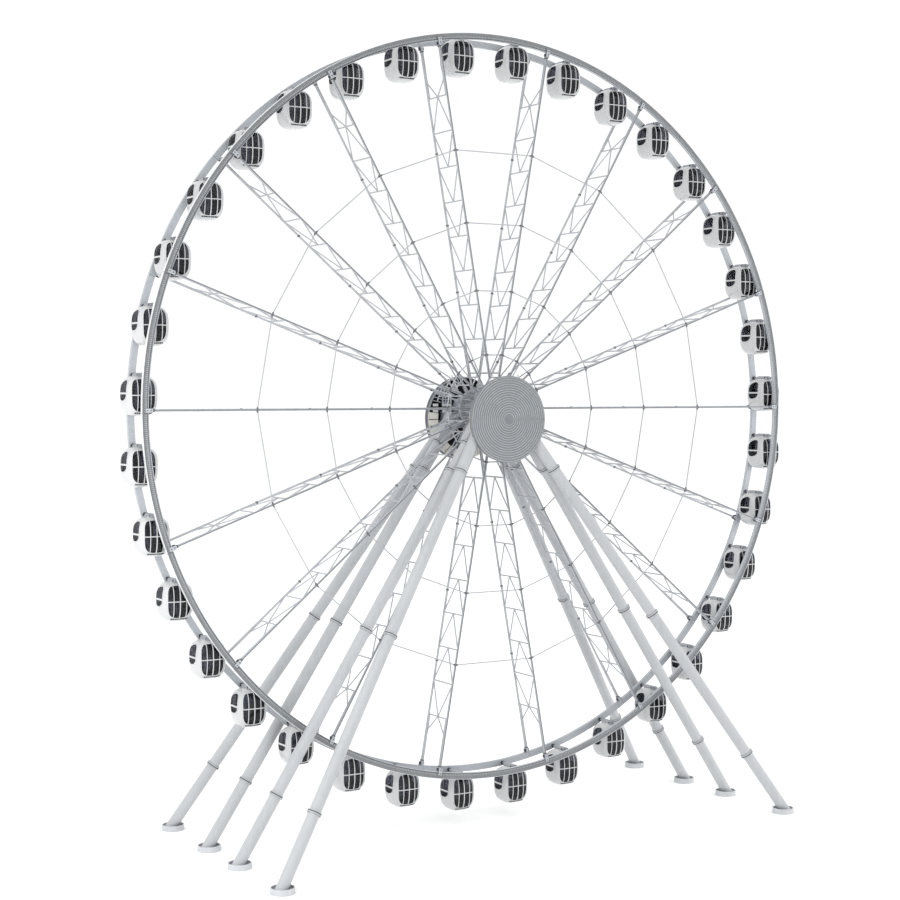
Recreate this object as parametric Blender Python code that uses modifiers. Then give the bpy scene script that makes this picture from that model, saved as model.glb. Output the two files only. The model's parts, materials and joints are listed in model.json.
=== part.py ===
"""Fairground wheel with level cabins, modelled at half of its real size.

The wheel stands in the XZ plane and turns about an axle along Y. The origin is on the ground,
under the axle. The front is towards -Y.
"""

from math import cos, pi, radians, sin

import bmesh
import bpy
from mathutils import Matrix, Vector

# Driving sizes in metres, all at half of real size
AXLE_HEIGHT = 13.12
GAP = 0.0003

# Rims
RIM_RADIUS = 11.5
RIM_SPACING = 1.15
RIM_DEPTH = 0.20
RIM_WIDTH = 0.11
RIM_STEPS = 72

# Spokes
SPOKE_COUNT = 18
CHORD_SIZE = 0.056
STIFFENER_SIZE = 0.060
STIFFENER_DEPTH = 0.107
RUNG_SIZE = 0.030
RUNG_COUNT = 9
RUNG_OUTER_RADIUS = 9.77
RUNG_PITCH = 1.08

# Hub that turns on the fixed spindle
HUB_STEPS = 36
HUB_FLANGE_RADIUS = 0.60
HUB_FLANGE_THICKNESS = 0.12
HUB_DRUM_RADIUS = 0.40
HUB_BORE_RADIUS = 0.21
HUB_END_CLEARANCE = 0.0005

# Fixed spindle and the two heads that hold it
SPINDLE_RADIUS = 0.20
SPINDLE_STEPS = 32
SPINDLE_REACH = 1.1
COLLAR_RADIUS = 0.30
COLLAR_SINK = 0.1
HEAD_INNER_FACE = 0.69
HEAD_HALF_WIDTH = 0.80
HEAD_BOTTOM = -0.62
HEAD_TOP = 0.02
BEARING_RADIUS = 0.36

# Legs and feet, the places are those of the legs where they enter the feet
FOOT_X = 8.925
FOOT_Y_INNER = 1.127
FOOT_Y_OUTER = 4.01
FOOT_RADIUS = 0.345
FOOT_HEIGHT = 0.17
FOOT_FLOOR = 0.13
FOOT_WALL = 0.04
FOOT_STEPS = 20
LEG_RADIUS = 0.175
LEG_STEPS = 16
LEG_END = 0.07
HEAD_LEVEL = -0.25
LEG_TOP_X = 0.63
LEG_TOP_Y_INNER = 0.84
LEG_TOP_Y_OUTER = 1.0

# Round panels in front of the heads
PANEL_RADIUS = 1.335
PANEL_DROP = 0.325
PANEL_FACE_Y = 1.44
PANEL_THICKNESS = 0.03
PANEL_LIP = 0.05
PANEL_STEPS = 36

# Cabins, sizes measured from the pivot at the top
CABIN_COUNT = 36
CABIN_FIRST_ANGLE = 5.0
CABIN_HALF_WIDTH = 0.47
CABIN_HALF_DEPTH = 0.455
CABIN_FRONT_EDGE = 0.355
CABIN_SIDE_EDGE = 0.30
CABIN_LEVELS = (
    {"front": -0.05, "side": -0.05, "share": 0.42},
    {"front": -0.20, "side": -0.20, "share": 0.86},
    {"front": -0.55, "side": -0.55, "share": 1.00},
    {"front": -0.96, "side": -0.79, "share": 0.93},
    {"front": -1.19, "side": -1.19, "share": 0.50},
)
ROOM_HALF_WIDTH = 0.33
ROOM_TOP = -0.32
ROOM_BOTTOM = -0.95
HOUSING_RADIUS = 0.085
HOUSING_HALF_LENGTH = 0.22
PIN_RADIUS = 0.038
PIN_SIDES = 6

ALONG_Y = Matrix.Rotation(pi / 2, 4, "X")


def clear_scene():
    """Remove every object, so that the script gives the same result each time."""
    for item in list(bpy.data.objects):
        bpy.data.objects.remove(item, do_unlink=True)


def new_collection(name):
    """Make a collection in the scene."""
    collection = bpy.data.collections.new(name)
    bpy.context.scene.collection.children.link(collection)
    return collection


def new_material(name, colour, roughness, metallic):
    """Make a plain material with a Principled shader."""
    material = bpy.data.materials.new(name)
    material.use_nodes = True
    shader = material.node_tree.nodes["Principled BSDF"]
    shader.inputs["Base Color"].default_value = (*colour, 1.0)
    shader.inputs["Roughness"].default_value = roughness
    shader.inputs["Metallic"].default_value = metallic
    return material


def mesh_object(name, bm, collection):
    """Turn a bmesh into an object in a collection."""
    mesh = bpy.data.meshes.new(name)
    bm.to_mesh(mesh)
    bm.free()
    item = bpy.data.objects.new(name, mesh)
    collection.objects.link(item)
    return item


def box(name, low, high, collection):
    """Make a box between two corners."""
    size = Vector(high) - Vector(low)
    centre = (Vector(high) + Vector(low)) / 2
    bm = bmesh.new()
    bmesh.ops.create_cube(bm, size=1.0, matrix=Matrix.Translation(centre) @ Matrix.Diagonal((*size, 1.0)))
    return mesh_object(name, bm, collection)


def rod(name, start, end, radius, sides, collection, turn=0.0):
    """Make a round or many-sided bar from one point to another."""
    start, end = Vector(start), Vector(end)
    along = end - start
    aim = along.to_track_quat("Z", "Y").to_matrix().to_4x4()
    place = Matrix.Translation((start + end) / 2) @ aim @ Matrix.Rotation(turn, 4, "Z")
    bm = bmesh.new()
    bmesh.ops.create_cone(
        bm,
        cap_ends=True,
        segments=sides,
        radius1=radius,
        radius2=radius,
        depth=along.length,
        matrix=place,
    )
    return mesh_object(name, bm, collection)


def turned(name, outline, steps, collection, closed=True):
    """Turn an outline of (flat radius, height) points about Z, as flat-sided as its steps."""
    bm = bmesh.new()
    reach = 1 / cos(pi / steps)
    corners = [bm.verts.new((radius * reach, 0, height)) for radius, height in outline]
    following = corners[1:] + corners[:1] if closed else corners[1:]
    for first, second in zip(corners, following):
        bm.edges.new((first, second))
    item = mesh_object(name, bm, collection)
    screw = item.modifiers.new("turn", "SCREW")
    screw.axis = "Z"
    screw.angle = 2 * pi
    screw.steps = steps
    screw.render_steps = steps
    screw.use_merge_vertices = True
    screw.merge_threshold = 0.0001
    return item


def ring(name, outline, steps, collection):
    """Turn a closed outline of (flat radius, place along the axle) points about the axle."""
    item = turned(name, outline, steps, collection)
    item.matrix_world = ALONG_Y @ Matrix.Rotation(pi / steps, 4, "Z")
    return item


def fuse(name, solids, collection):
    """Join overlapping solids into one body and remove the pieces it was made from."""
    base = solids[0]
    for other in solids[1:]:
        union = base.modifiers.new("join", "BOOLEAN")
        union.operation = "UNION"
        union.object = other
    bpy.context.view_layer.update()
    evaluated = base.evaluated_get(bpy.context.evaluated_depsgraph_get())
    mesh = bpy.data.meshes.new_from_object(evaluated)
    mesh.name = name
    mesh.materials.clear()
    item = bpy.data.objects.new(name, mesh)
    item.matrix_world = base.matrix_world
    collection.objects.link(item)
    for solid in solids:
        bpy.data.objects.remove(solid, do_unlink=True)
    return item


def shade_round(item):
    """Shade a round piece smooth and keep its edges sharp."""
    item.data.shade_smooth()
    item.data.set_sharp_from_angle(angle=radians(35))


def rim(name, side, wheel, parts, material):
    """Make one of the two rims, a closed box section bent to a ring."""
    inner = RIM_RADIUS - RIM_DEPTH / 2
    outer = RIM_RADIUS + RIM_DEPTH / 2
    half = RIM_WIDTH / 2
    outline = [(outer, half), (outer, -half), (inner, -half), (inner, half)]
    item = ring(name, outline, RIM_STEPS, parts)
    item.parent = wheel
    item.location = (0, side * RIM_SPACING / 2, 0)
    item.data.materials.append(material)
    return item


def spoke_lattice(parts):
    """Make one spoke along +X: two chords, stiffer towards the rims, joined by rungs."""
    start = HUB_FLANGE_RADIUS + GAP
    end = RIM_RADIUS - RIM_DEPTH / 2 - GAP
    half = RIM_SPACING / 2
    bars = []
    for side in (-1, 1):
        thin = CHORD_SIZE / 2
        low = (start, side * half - thin, -thin)
        high = (RUNG_OUTER_RADIUS + CHORD_SIZE, side * half + thin, thin)
        bars.append(box("chord", low, high, parts))
        stout = STIFFENER_SIZE / 2
        faces = sorted((side * (half + stout), side * (half + stout - STIFFENER_DEPTH)))
        low = (RUNG_OUTER_RADIUS, faces[0], -stout)
        high = (end, faces[1], stout)
        bars.append(box("stiffener", low, high, parts))
    for index in range(RUNG_COUNT):
        place = RUNG_OUTER_RADIUS - RUNG_PITCH * index
        low = (place - RUNG_SIZE / 2, -half, -RUNG_SIZE / 2)
        high = (place + RUNG_SIZE / 2, half, RUNG_SIZE / 2)
        bars.append(box("rung", low, high, parts))
    return fuse("spoke_lattice", bars, parts)


def spokes(wheel, parts, material):
    """Make the spokes as turned copies of one lattice."""
    first = spoke_lattice(parts)
    mesh = first.data
    mesh.materials.append(material)
    bpy.data.objects.remove(first, do_unlink=True)
    for index in range(SPOKE_COUNT):
        item = bpy.data.objects.new(f"spoke_{index + 1:02d}", mesh)
        item.parent = wheel
        item.rotation_euler = (0, -2 * pi * index / SPOKE_COUNT, 0)
        parts.objects.link(item)


def hub(wheel, parts, material):
    """Make the turning hub, a drum with two flanges that hold the spokes."""
    middle = RIM_SPACING / 2
    inside = middle - HUB_FLANGE_THICKNESS / 2
    outside = middle + HUB_FLANGE_THICKNESS / 2
    outline = [
        (HUB_FLANGE_RADIUS, outside),
        (HUB_FLANGE_RADIUS, inside),
        (HUB_DRUM_RADIUS, inside),
        (HUB_DRUM_RADIUS, -inside),
        (HUB_FLANGE_RADIUS, -inside),
        (HUB_FLANGE_RADIUS, -outside),
        (HUB_BORE_RADIUS, -outside),
        (HUB_BORE_RADIUS, outside),
    ]
    item = ring("hub", outline, HUB_STEPS, parts)
    item.parent = wheel
    item.data.materials.append(material)


def leg(side_x, side_y, foot_y, top_y, parts):
    """Make one leg, from a level cut inside its foot to the middle of the head."""
    foot = Vector((side_x * FOOT_X, side_y * foot_y, FOOT_HEIGHT))
    top = Vector((side_x * LEG_TOP_X, side_y * top_y, AXLE_HEIGHT + HEAD_LEVEL))
    below = foot + (foot - top).normalized() * FOOT_RADIUS
    item = rod("leg", below, top, LEG_RADIUS, LEG_STEPS, parts)
    bm = bmesh.new()
    bm.from_mesh(item.data)
    everything = bm.verts[:] + bm.edges[:] + bm.faces[:]
    level = {"plane_co": (0, 0, LEG_END), "plane_no": (0, 0, 1), "clear_inner": True}
    cut = bmesh.ops.bisect_plane(bm, geom=everything, **level)
    rim_edges = [part for part in cut["geom_cut"] if isinstance(part, bmesh.types.BMEdge)]
    bmesh.ops.contextual_create(bm, geom=rim_edges)
    bmesh.ops.recalc_face_normals(bm, faces=bm.faces[:])
    bm.to_mesh(item.data)
    bm.free()
    return item


def foot(side_x, side_y, foot_y, parts):
    """Make one round foot, a cup whose floor lies a little below its wall."""
    well = FOOT_RADIUS - FOOT_WALL
    outline = [
        (0, FOOT_FLOOR),
        (well, FOOT_FLOOR),
        (well, FOOT_HEIGHT),
        (FOOT_RADIUS, FOOT_HEIGHT),
        (FOOT_RADIUS, 0),
        (0, 0),
    ]
    item = turned("foot", outline, FOOT_STEPS, parts, closed=False)
    item.location = (side_x * FOOT_X, side_y * foot_y, 0)
    return item


def support_side(side_y, parts):
    """Make the solids of the four legs, the feet and the head on one side of the wheel."""
    solids = []
    for side_x in (-1, 1):
        for foot_y, top_y in ((FOOT_Y_INNER, LEG_TOP_Y_INNER), (FOOT_Y_OUTER, LEG_TOP_Y_OUTER)):
            solids.append(leg(side_x, side_y, foot_y, top_y, parts))
            solids.append(foot(side_x, side_y, foot_y, parts))
    near = side_y * HEAD_INNER_FACE
    far = side_y * (PANEL_FACE_Y - PANEL_THICKNESS - GAP)
    low = (-HEAD_HALF_WIDTH, min(near, far), AXLE_HEIGHT + HEAD_BOTTOM)
    high = (HEAD_HALF_WIDTH, max(near, far), AXLE_HEIGHT + HEAD_TOP)
    solids.append(box("head", low, high, parts))
    inner = (0, near, AXLE_HEIGHT)
    outer = (0, far, AXLE_HEIGHT)
    solids.append(rod("bearing", inner, outer, BEARING_RADIUS, SPINDLE_STEPS, parts))
    return solids


def support_frame(parts, material):
    """Make the fixed frame: eight legs on their feet, two heads and the spindle between them."""
    hub_end = RIM_SPACING / 2 + HUB_FLANGE_THICKNESS / 2 + HUB_END_CLEARANCE
    spindle_ends = ((0, -SPINDLE_REACH, AXLE_HEIGHT), (0, SPINDLE_REACH, AXLE_HEIGHT))
    solids = [rod("spindle", *spindle_ends, SPINDLE_RADIUS, SPINDLE_STEPS, parts)]
    for side_y in (-1, 1):
        inner = (0, side_y * hub_end, AXLE_HEIGHT)
        outer = (0, side_y * (HEAD_INNER_FACE + COLLAR_SINK), AXLE_HEIGHT)
        solids.append(rod("collar", inner, outer, COLLAR_RADIUS, SPINDLE_STEPS, parts))
        solids.extend(support_side(side_y, parts))
    item = fuse("support_frame", solids, parts)
    item.data.materials.append(material)
    shade_round(item)


def round_panel(name, side_y, parts, material):
    """Make the round panel that covers a head, with a lip turned back around its edge."""
    face = PANEL_FACE_Y
    back = face - PANEL_THICKNESS
    lip = face - PANEL_LIP
    inside = PANEL_RADIUS - PANEL_THICKNESS
    outline = [
        (0, face),
        (PANEL_RADIUS, face),
        (PANEL_RADIUS, lip),
        (inside, lip),
        (inside, back),
        (0, back),
    ]
    item = turned(name, outline, PANEL_STEPS, parts, closed=False)
    aim = Matrix.Rotation(-side_y * pi / 2, 4, "X")
    item.matrix_world = Matrix.Translation((0, 0, AXLE_HEIGHT - PANEL_DROP)) @ aim
    item.data.materials.append(material)


def cabin_level(bm, front, side, share):
    """Add the eight corners of one level of a cabin."""
    front_x, front_y = CABIN_FRONT_EDGE * share, CABIN_HALF_DEPTH * share
    side_x, side_y = CABIN_HALF_WIDTH * share, CABIN_SIDE_EDGE * share
    for way_x in (-1, 1):
        for way_y in (-1, 1):
            bm.verts.new((way_x * front_x, way_y * front_y, front))
            bm.verts.new((way_x * side_x, way_y * side_y, side))


def cabin_shell(parts):
    """Make the body of a cabin as the hull of its levels, with its room open at the front and rear."""
    bm = bmesh.new()
    for level in CABIN_LEVELS:
        cabin_level(bm, **level)
    bmesh.ops.convex_hull(bm, input=bm.verts[:])
    item = mesh_object("cabin_shell", bm, parts)
    low = (-ROOM_HALF_WIDTH, -2 * CABIN_HALF_DEPTH, ROOM_BOTTOM)
    high = (ROOM_HALF_WIDTH, 2 * CABIN_HALF_DEPTH, ROOM_TOP)
    room = box("room", low, high, parts)
    opened = item.modifiers.new("open", "BOOLEAN")
    opened.operation = "DIFFERENCE"
    opened.object = room
    shell = fuse("cabin_shell", [item], parts)
    bpy.data.objects.remove(room, do_unlink=True)
    return shell


def cabin_mesh(parts, material):
    """Make one cabin about its pivot: the body with its room, under a bearing housing with two pins."""
    shell = cabin_shell(parts)
    half = HOUSING_HALF_LENGTH
    housing = rod("housing", (0, -half, 0), (0, half, 0), HOUSING_RADIUS, PIN_SIDES, parts, pi / PIN_SIDES)
    reach = (RIM_SPACING - RIM_WIDTH) / 2 - GAP
    pin = rod("pin", (0, -reach, 0), (0, reach, 0), PIN_RADIUS, PIN_SIDES, parts, pi / PIN_SIDES)
    item = fuse("cabin", [shell, housing, pin], parts)
    mesh = item.data
    mesh.materials.append(material)
    bpy.data.objects.remove(item, do_unlink=True)
    return mesh


def cabins(wheel, parts, material):
    """Hang the cabins level around the wheel, each with its origin on its own pivot."""
    mesh = cabin_mesh(parts, material)
    for index in range(CABIN_COUNT):
        angle = radians(CABIN_FIRST_ANGLE + 360 * index / CABIN_COUNT)
        item = bpy.data.objects.new(f"cabin_{index + 1:02d}", mesh)
        item.parent = wheel
        item.location = (RIM_RADIUS * cos(angle), 0, RIM_RADIUS * sin(angle))
        parts.objects.link(item)


def main():
    clear_scene()
    parts = new_collection("ferris_wheel")
    rim_paint = new_material("rim_paint", (0.46, 0.50, 0.55), 0.45, 0.2)
    spoke_paint = new_material("spoke_paint", (0.42, 0.45, 0.50), 0.45, 0.2)
    hub_paint = new_material("hub_paint", (0.45, 0.48, 0.52), 0.45, 0.2)
    leg_paint = new_material("leg_paint", (0.66, 0.70, 0.76), 0.4, 0.1)
    panel_grey = new_material("panel_grey", (0.35, 0.37, 0.39), 0.5, 0.1)
    cabin_white = new_material("cabin_white", (0.80, 0.81, 0.82), 0.3, 0.0)

    wheel = bpy.data.objects.new("wheel_axis", None)
    wheel.location = (0, 0, AXLE_HEIGHT)
    parts.objects.link(wheel)

    support_frame(parts, leg_paint)
    round_panel("front_disc", -1, parts, panel_grey)
    round_panel("rear_disc", 1, parts, panel_grey)
    hub(wheel, parts, hub_paint)
    rim("front_rim", -1, wheel, parts, rim_paint)
    rim("rear_rim", 1, wheel, parts, rim_paint)
    spokes(wheel, parts, spoke_paint)
    cabins(wheel, parts, cabin_white)


main()
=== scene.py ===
"""Finish for the fairground wheel: detailed parts, paint, glass and lamps over its plain solids.

The wheel stands in the XZ plane, turns about an axle along Y and faces -Y. All sizes are metres
of the half-size model.
"""

import json
from math import atan2, copysign, cos, pi, radians, sin

import bmesh
import bpy
from mathutils import Matrix, Vector


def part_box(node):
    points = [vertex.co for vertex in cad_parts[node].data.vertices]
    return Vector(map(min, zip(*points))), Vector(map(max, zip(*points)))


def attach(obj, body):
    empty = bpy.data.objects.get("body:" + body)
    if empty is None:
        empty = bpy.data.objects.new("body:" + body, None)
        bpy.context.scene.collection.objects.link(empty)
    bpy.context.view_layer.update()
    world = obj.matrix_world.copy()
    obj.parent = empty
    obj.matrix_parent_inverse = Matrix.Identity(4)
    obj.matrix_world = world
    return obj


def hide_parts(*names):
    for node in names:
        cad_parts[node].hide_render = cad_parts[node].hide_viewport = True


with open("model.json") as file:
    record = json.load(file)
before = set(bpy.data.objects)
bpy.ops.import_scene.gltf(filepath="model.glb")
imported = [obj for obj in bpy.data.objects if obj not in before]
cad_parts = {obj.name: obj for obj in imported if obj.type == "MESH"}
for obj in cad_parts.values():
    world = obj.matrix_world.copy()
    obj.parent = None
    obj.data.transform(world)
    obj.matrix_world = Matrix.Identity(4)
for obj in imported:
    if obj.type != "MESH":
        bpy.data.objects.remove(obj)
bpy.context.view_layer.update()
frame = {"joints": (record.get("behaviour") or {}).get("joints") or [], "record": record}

bl_info = {
    "name": "Fairground Wheel Finish",
    "version": (1, 0, 0),
    "blender": (4, 5, 0),
    "location": "3D View > Sidebar > Wheel",
    "description": "Adds the detailed parts and finishes of a fairground wheel",
    "category": "Object",
}

# Places that follow from the frame
RIM_LOW, RIM_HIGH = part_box("front_rim")
HUB_LOW, HUB_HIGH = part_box("hub")
_, SUPPORT_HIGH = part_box("support_frame")
DISC_LOW, DISC_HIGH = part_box("front_disc")
AXLE = (RIM_LOW.z + RIM_HIGH.z) / 2
RIM_OUTER = (RIM_HIGH.x - RIM_LOW.x) / 2
RIM_Y = -(RIM_LOW.y + RIM_HIGH.y) / 2
RIM_HALF = (RIM_HIGH.y - RIM_LOW.y) / 2
HUB_FLANGE = (HUB_HIGH.x - HUB_LOW.x) / 2
HUB_END = (HUB_HIGH.y - HUB_LOW.y) / 2
DISC_RADIUS = (DISC_HIGH.x - DISC_LOW.x) / 2
DISC_LEVEL = (DISC_HIGH.z + DISC_LOW.z) / 2
DISC_FACE = -DISC_LOW.y
FEET = [Vector(mount["pos_m"]) for mount in frame["record"]["mounts"]]
FOOT_RADIUS = SUPPORT_HIGH.x - max(foot.x for foot in FEET)
PIVOTS = {joint["child"]: Vector(joint["pos_m"]) for joint in frame["joints"] if joint["child"] != "wheel"}

# Sizes of the solids that the frame's boxes don't show
RIM_INNER = RIM_OUTER - 0.20
SPOKE_COUNT = 18
BAY = 2 * pi / SPOKE_COUNT
RUNG_OUTER = 9.77
RUNG_PITCH = 1.08
RUNG_COUNT = 9
SPLAY_RADIUS = 10.33
TIE_RADII = (1.70, 3.717, 5.83, 8.075)
FOOT_HEIGHT = 0.17
FOOT_FLOOR = 0.13
FOOT_WALL = 0.04
LEG_RADIUS = 0.175
LEG_TOP_X = 0.63
LEG_TOP_Z = -0.25
LEG_TOP_Y_INNER = 0.84
LEG_TOP_Y_OUTER = 1.0
JOINT_DROPS = (1.90, 6.55, 11.15)
SLEEVE_DROP = 1.08
HEAD_NEAR = 0.69
HEAD_HALF_WIDTH = 0.80
HEAD_TOP = -0.12
HEAD_BOTTOM = -0.62
SPINDLE_RADIUS = 0.20
SPINDLE_REACH = 1.1
COLLAR_RADIUS = 0.30
POD_HALF_WIDTH = 0.47
POD_HALF_DEPTH = 0.455
POD_TOP = -0.02
POD_WAIST = -0.55
POD_BOTTOM = -1.17
POD_LEVELS = 18
POD_STEPS = 48
# Powers of the curves that round a cabin: above its waist, at its crown, below its waist and in plan
POD_CURVE = 2.7
POD_CROWN_CURVE = 3
POD_LOW_CURVE = 3.05
POD_PLAN_CURVE = 4

# How far most boxes have their edges cut back, and how deep most bars reach into a cabin's shell
CHAMFER = 0.004
BAR_SINK = 0.018

# The camera, fitted to the photograph's 900 by 900 frame
VIEW_AZIMUTH = -30.608
VIEW_ELEVATION = 1.959
VIEW_DISTANCE = 54.30
VIEW_TARGET = (-1.258, 0.0, 11.826)
VIEW_LENS = 69.56
SENSOR = 36.0
VIEW_LIMIT = 600.0

# The studio: its floor, its even light, a broad light from above and two square ones, which have
# a name, a place, a target and a power
FLOOR_RADIUS = 160.0
FLOOR_GLOW = 0.06
WORLD_STRENGTH = 1.06
TOP_LIGHT_POWER = 0.6
BOX_LIGHT_SIZE = 10.0
BOX_LIGHTS = (
    ("left_light", (-20.5, -8.0, 10.5), (-6.0, 0.0, 11.5), 1300.0),
    ("right_light", (24.0, -12.0, 12.0), (8.0, 0.0, 12.0), 2000.0),
)

HERE = Matrix.Identity(4)
TURN_X = Matrix.Rotation(pi / 2, 4, "X")


def length(name, description, default, low=0.001):
    """Give one size that a user may change."""
    return bpy.props.FloatProperty(
        name=name, description=description, default=default, min=low, precision=4, unit="LENGTH"
    )


def colour(name, description, default):
    """Give one colour that a user may change."""
    return bpy.props.FloatVectorProperty(
        name=name, description=description, default=default, size=3, min=0.0, max=1.0, subtype="COLOR"
    )


class WheelSizes(bpy.types.PropertyGroup):
    """Sizes of the small parts."""

    chord_width: length("Chord width", "Width of the two long square tubes of a spoke", 0.054)
    stout_depth: length("Stout depth", "Depth of a spoke's chord from its last rung to the rim", 0.105)
    rung_radius: length("Rung radius", "Radius of the tubes straight across a spoke", 0.023)
    brace_radius: length("Brace radius", "Radius of the slanted tubes of a spoke", 0.021)
    tie_radius: length("Tie radius", "Radius of the rods that join the spokes", 0.019)
    lamp_pitch: length("Lamp pitch", "Distance between lamps along the rim", 0.056, 0.02)
    ring_pitch: length("Lamp ring pitch", "Distance between the lamp rings of a disc", 0.0745, 0.04)
    ring_width: length("Lamp ring width", "Width of one lamp ring of a disc", 0.019)
    flange_height: length("Flange height", "How far a leg's joint rings stand out", 0.038)
    bar_width: length("Window bar width", "Width of the upright bars of a cabin's windows", 0.022)
    shell_wall: length("Shell wall", "Thickness of a cabin's shell", 0.022)


class WheelColours(bpy.types.PropertyGroup):
    """Colours of the paints and other finishes."""

    leg: colour("Legs", "Paint of the legs and feet", (0.42, 0.433, 0.45))
    head: colour("Heads", "Paint of the heads and the frames behind the discs", (0.42, 0.45, 0.49))
    spoke: colour("Spokes", "Paint of the spokes", (0.41, 0.425, 0.45))
    strip: colour("Lamp strips", "Dark lamp strips along the front of the spokes", (0.19, 0.20, 0.215))
    rim: colour("Rims", "Paint of the rims", (0.40, 0.425, 0.455))
    rim_edge: colour("Front rim's edge", "White paint around the front rim's outside", (0.66, 0.67, 0.68))
    rim_band: colour("Outer rim band", "Sunk band along the rims' outer edge", (0.255, 0.265, 0.275))
    lamp_band: colour("Lamp bands", "Sunk bands that hold the lamps of the rims", (0.185, 0.195, 0.205))
    lamp: colour("Lamps", "Frosted caps of the lamps", (0.37, 0.38, 0.39))
    disc: colour("Discs", "Face of the round discs", (0.19, 0.20, 0.212))
    ring: colour("Lamp rings", "Round lamp tubes of the discs", (0.385, 0.40, 0.415))
    shell: colour("Cabin shells", "Gloss shell of the cabins", (0.475, 0.485, 0.49))
    glass: colour("Glass", "Tint of the front and rear glass", (0.17, 0.18, 0.215))
    side_glass: colour("Side glass", "Tint of the side glass", (0.36, 0.36, 0.38))
    seat: colour("Seats", "Seats inside the cabins", (0.22, 0.24, 0.28))


def polar(radius, angle, height=0.0):
    """Give the point at a radius and angle about Z."""
    return Vector((radius * cos(angle), radius * sin(angle), height))


def at(x, y, z):
    """Give the matrix that moves to a place."""
    return Matrix.Translation((x, y, z))


def spun(angle, axis):
    """Give the matrix that turns by an angle about an axis."""
    return Matrix.Rotation(angle, 4, axis)


def facing(way):
    """Give the matrix that turns local Z to a direction."""
    return Vector(way).to_track_quat("Z", "Y").to_matrix().to_4x4()


def spread(start, end, steps):
    """Give evenly spaced values from one to another."""
    return [start + (end - start) * step / steps for step in range(steps + 1)]


def ringed(items):
    """Pair each item of a closed row with the next one."""
    return list(zip(items, items[1:] + items[:1]))


def oblong(near, far, start, end):
    """Give the corners of an oblong outline between two radii and two heights."""
    return [(near, start), (far, start), (far, end), (near, end)]


def mirrored(half):
    """Give a whole outline from its upper half, which runs from the end to the middle."""
    return [(radius, -height) for radius, height in half] + half[::-1]


def linked(name, data):
    """Put data in the scene as an object."""
    item = bpy.data.objects.new(name, data)
    bpy.context.scene.collection.objects.link(item)
    return item


def written(bm, name):
    """Write a bmesh to a new mesh and free it."""
    mesh = bpy.data.meshes.new(name)
    bm.to_mesh(mesh)
    bm.free()
    return mesh


def dressed(mesh, materials):
    """Give a mesh its finishes and smooth shading with sharp edges kept."""
    for material in materials:
        mesh.materials.append(material)
    mesh.shade_smooth()
    mesh.set_sharp_from_angle(angle=radians(32))
    return mesh


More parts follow.
